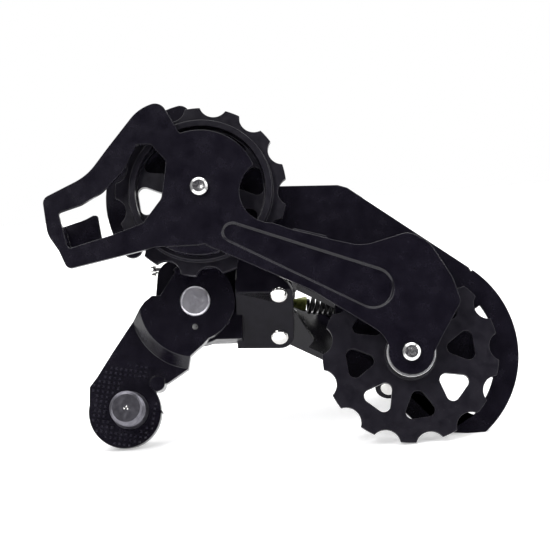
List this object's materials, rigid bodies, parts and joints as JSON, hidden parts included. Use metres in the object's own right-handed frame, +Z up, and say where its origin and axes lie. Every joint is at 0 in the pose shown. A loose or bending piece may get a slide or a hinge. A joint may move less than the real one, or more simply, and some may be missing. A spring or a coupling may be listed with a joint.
{
  "type": "rear bicycle derailleur",
  "caption": "Rear bicycle derailleur: a slanted parallelogram on a bracket link carries a sprung cage with toothed guide and tension pulleys.",
  "frame": {"origin": "on the hanger bolt's axis, where the bracket link's knurled face lies against the frame's hanger", "axes": "+Y along the hanger bolt, away from the wheel; +Z up and +X towards the guide pulley, as it lies at rest with no chain"},
  "size_m": [0.1364, 0.0622, 0.1013],
  "materials": {
    "black_steel": "semi-gloss",
    "dark_plate": "semi-gloss",
    "resin": "satin",
    "bright_steel": "polished",
    "grey_steel": "satin",
    "spring_steel": "satin"
  },
  "bodies": {
    "bracket": {"bracket_link": "black_steel", "upper_axle": "grey_steel", "upper_pivot_spring": "spring_steel"},
    "hanger_fixing": {"hanger_bolt": "grey_steel"},
    "upper_knuckle_body": {"upper_knuckle": "dark_plate", "angle_adjusting_screw": "bright_steel", "low_limit_screw": "bright_steel", "high_limit_screw": "bright_steel", "upper_inner_link_pin": "bright_steel", "upper_outer_link_pin": "bright_steel", "cable_adjuster_spring": "spring_steel", "return_spring": "spring_steel"},
    "adjuster": {"cable_adjuster": "resin"},
    "inner_link_body": {"inner_link": "black_steel"},
    "outer_link_body": {"outer_link": "black_steel", "cable_clamp_bolt": "bright_steel", "cable_clamp_washer": "bright_steel"},
    "lower_knuckle_body": {"lower_knuckle": "dark_plate", "lower_inner_link_pin": "bright_steel", "lower_outer_link_pin": "bright_steel", "cage_pivot_spring": "spring_steel"},
    "cage": {"inner_cage_plate": "black_steel", "outer_cage_plate": "black_steel", "cage_pivot_pin": "grey_steel", "cage_pivot_clip": "grey_steel", "cage_stop_pin": "grey_steel", "guide_pulley_bolt": "bright_steel", "guide_pulley_bush": "grey_steel", "guide_pulley_dust_caps": "grey_steel", "tension_pulley_bolt": "bright_steel", "tension_pulley_bush": "grey_steel", "tension_pulley_dust_caps": "grey_steel"},
    "guide_wheel": {"guide_pulley": "resin"},
    "tension_wheel": {"tension_pulley": "resin"}
  },
  "joints": [
    {"name": "hanger_bolt_turn", "type": "hinge", "parent": "bracket", "child": "hanger_fixing", "pos_m": [0, 0, 0], "axis": [0, 1, 0], "continuous": true},
    {"name": "upper_pivot", "type": "hinge", "parent": "bracket", "child": "upper_knuckle_body", "pos_m": [0.0194, 0, 0.0317], "axis": [0, 1, 0], "range_deg": [-28, 0], "stiffness_Nm_per_rad": 0.6, "springref_deg": 45.84},
    {"name": "adjuster_turn", "type": "hinge", "parent": "upper_knuckle_body", "child": "adjuster", "pos_m": [0.0162, 0.01903, 0.05159], "axis": [1, 0, 0], "continuous": true},
    {"name": "inner_link_swing", "type": "hinge", "parent": "upper_knuckle_body", "child": "inner_link_body", "pos_m": [0.044, 0.00506, 0.0417], "axis": [0, -0.7431, -0.6691], "range_deg": [0, 63], "stiffness_Nm_per_rad": 0.25, "springref_deg": -68.75, "deforming": ["return_spring"]},
    {"name": "outer_link_swing", "type": "hinge", "parent": "upper_knuckle_body", "child": "outer_link_body", "pos_m": [0.044, 0.0151, 0.03055], "axis": [0, -0.7431, -0.6691], "range_deg": [0, 63]},
    {"name": "lower_knuckle_swing", "type": "hinge", "parent": "inner_link_body", "child": "lower_knuckle_body", "pos_m": [0.07691, 0.01777, 0.02758], "axis": [0, -0.7431, -0.6691], "range_deg": [-63, 0]},
    {"name": "cage_pivot", "type": "hinge", "parent": "lower_knuckle_body", "child": "cage", "pos_m": [0.07801, 0, 0.03598], "axis": [0, 1, 0], "range_deg": [0, 120], "stiffness_Nm_per_rad": 0.2, "springref_deg": -51.57},
    {"name": "guide_pulley_spin", "type": "hinge", "parent": "cage", "child": "guide_wheel", "pos_m": [0.08181, -0.014, 0.01438], "axis": [0, 1, 0], "continuous": true},
    {"name": "tension_pulley_spin", "type": "hinge", "parent": "cage", "child": "tension_wheel", "pos_m": [0.02171, -0.014, 0.06236], "axis": [0, 1, 0], "continuous": true}
  ],
  "couplings": [
    {"joint": "outer_link_swing", "follows": "inner_link_swing", "ratio": 1},
    {"joint": "lower_knuckle_swing", "follows": "inner_link_swing", "ratio": -1}
  ]
}
